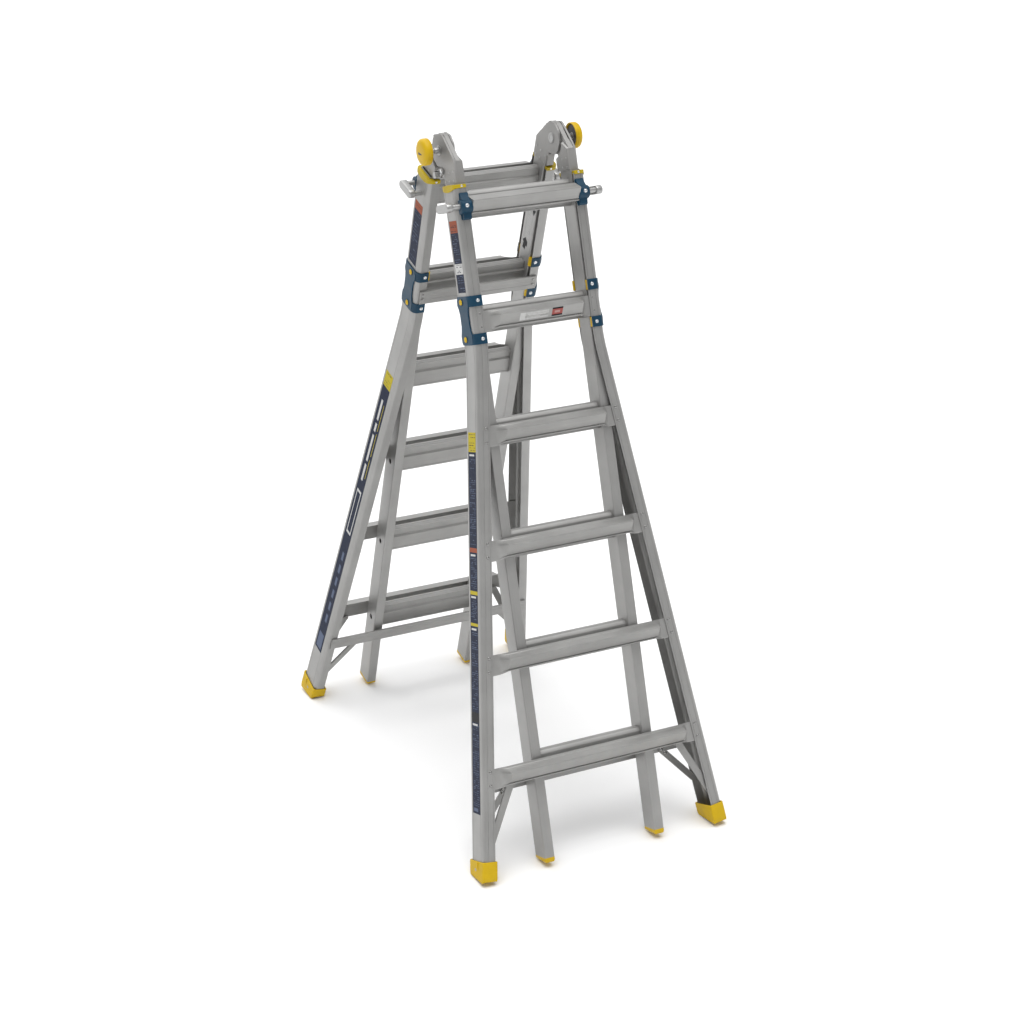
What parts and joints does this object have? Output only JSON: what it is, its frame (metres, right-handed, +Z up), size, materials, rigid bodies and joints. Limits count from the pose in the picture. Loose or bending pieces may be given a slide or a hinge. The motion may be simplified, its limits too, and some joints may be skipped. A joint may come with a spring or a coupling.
{
  "type": "multi position ladder",
  "caption": "Telescoping aluminium ladder of two splayed sections with flat ribbed rungs, locking top hinges, pull-out lock pins, blue bend brackets and yellow feet, opened as a stepladder.",
  "frame": {"origin": "middle of the footprint, on the ground under the feet", "axes": "+X along the rungs to the right, front section towards -Y, +Z up"},
  "size_m": [0.771, 1.3388, 1.9012],
  "materials": {
    "mill_aluminium": "mill-finished extrusion, satin, faint draw lines along its length",
    "cast_hinge": "satin plate",
    "plated_steel": "zinc plated, satin",
    "fasteners": "zinc plated",
    "blue_plastic": "moulded, satin",
    "yellow_plastic": "moulded, satin",
    "yellow_rubber": "moulded, matte",
    "label_film": null
  },
  "bodies": {
    "rear_inner": {"rear_inner_rail_left": "mill_aluminium", "rear_inner_rail_right": "mill_aluminium", "rear_inner_rungs": "mill_aluminium", "rear_inner_rail_caps": "yellow_plastic", "rear_hinge_left": "cast_hinge", "rear_hinge_right": "cast_hinge", "rear_hinge_rivets": "fasteners", "hinge_pivots": "plated_steel"},
    "front_inner": {"front_inner_rail_left": "mill_aluminium", "front_inner_rail_right": "mill_aluminium", "front_inner_rungs": "mill_aluminium", "front_inner_rail_caps": "yellow_plastic", "front_hinge_left": "cast_hinge", "front_hinge_right": "cast_hinge", "front_hinge_rivets": "fasteners"},
    "rear_outer": {"rear_outer_rail_left": "mill_aluminium", "rear_outer_rail_right": "mill_aluminium", "rear_top_rung": "mill_aluminium", "rear_bend_rung": "mill_aluminium", "rear_lower_rungs": "mill_aluminium", "rear_rung_rivets": "fasteners", "rear_back_crossbar": "mill_aluminium", "rear_lower_back_bar": "mill_aluminium", "rear_braces": "mill_aluminium", "rear_feet": "yellow_rubber", "rear_foot_rivets": "fasteners", "rear_top_collars": "yellow_plastic", "rear_bend_brackets": "blue_plastic", "rear_glide_pads": "yellow_plastic", "rear_bracket_bolts": "fasteners", "rear_lock_housings": "blue_plastic", "rear_housing_bolts": "fasteners", "rear_labels": "label_film"},
    "front_outer": {"front_outer_rail_left": "mill_aluminium", "front_outer_rail_right": "mill_aluminium", "front_top_rung": "mill_aluminium", "front_bend_rung": "mill_aluminium", "front_lower_rungs": "mill_aluminium", "front_rung_rivets": "fasteners", "front_back_crossbar": "mill_aluminium", "front_lower_back_bar": "mill_aluminium", "front_braces": "mill_aluminium", "front_feet": "yellow_rubber", "front_foot_rivets": "fasteners", "front_top_collars": "yellow_plastic", "front_bend_brackets": "blue_plastic", "front_glide_pads": "yellow_plastic", "front_bracket_bolts": "fasteners", "front_lock_housings": "blue_plastic", "front_housing_bolts": "fasteners", "front_labels": "label_film"},
    "front_lock_left": {"front_lock_pin_left": "plated_steel"},
    "front_lock_right": {"front_lock_pin_right": "plated_steel"},
    "rear_lock_left": {"rear_lock_pin_left": "plated_steel"},
    "rear_lock_right": {"rear_lock_pin_right": "plated_steel"},
    "knob_left": {"hinge_knob_left": "yellow_plastic"},
    "knob_right": {"hinge_knob_right": "yellow_plastic"},
    "latch_left": {"hinge_latch_left": "plated_steel"},
    "latch_right": {"hinge_latch_right": "plated_steel"}
  },
  "joints": [
    {"name": "hinge_fold", "type": "hinge", "parent": "rear_inner", "child": "front_inner", "pos_m": [0, 0, 1.85523], "axis": [-1, 0, 0], "range_deg": [-34, 145.7]},
    {"name": "rear_extend", "type": "slide", "parent": "rear_inner", "child": "rear_outer", "axis": [0, 0.2942, -0.9557], "range_m": [0, 1.524]},
    {"name": "front_extend", "type": "slide", "parent": "front_inner", "child": "front_outer", "axis": [0, -0.2942, -0.9557], "range_m": [0, 1.524]},
    {"name": "front_lock_left_slide", "type": "slide", "parent": "front_outer", "child": "front_lock_left", "axis": [1, 0, 0], "range_m": [0, 0.016]},
    {"name": "front_lock_right_slide", "type": "slide", "parent": "front_outer", "child": "front_lock_right", "axis": [-1, 0, 0], "range_m": [0, 0.016]},
    {"name": "rear_lock_left_slide", "type": "slide", "parent": "rear_outer", "child": "rear_lock_left", "axis": [1, 0, 0], "range_m": [0, 0.016]},
    {"name": "rear_lock_right_slide", "type": "slide", "parent": "rear_outer", "child": "rear_lock_right", "axis": [-1, 0, 0], "range_m": [0, 0.016]},
    {"name": "knob_left_press", "type": "slide", "parent": "rear_inner", "child": "knob_left", "axis": [1, 0, 0], "range_m": [0, 0.012], "stiffness_N_per_m": 600, "springref_m": -0.004},
    {"name": "latch_left_swing", "type": "hinge", "parent": "front_inner", "child": "latch_left", "pos_m": [0, -0.02412, 1.80407], "axis": [-1, 0, 0], "range_deg": [0, 20], "stiffness_Nm_per_rad": 0.4, "springref_deg": -5.73},
    {"name": "knob_right_press", "type": "slide", "parent": "rear_inner", "child": "knob_right", "axis": [-1, 0, 0], "range_m": [0, 0.012], "stiffness_N_per_m": 600, "springref_m": -0.004},
    {"name": "latch_right_swing", "type": "hinge", "parent": "front_inner", "child": "latch_right", "pos_m": [0, -0.02412, 1.80407], "axis": [-1, 0, 0], "range_deg": [0, 20], "stiffness_Nm_per_rad": 0.4, "springref_deg": -5.73}
  ]
}
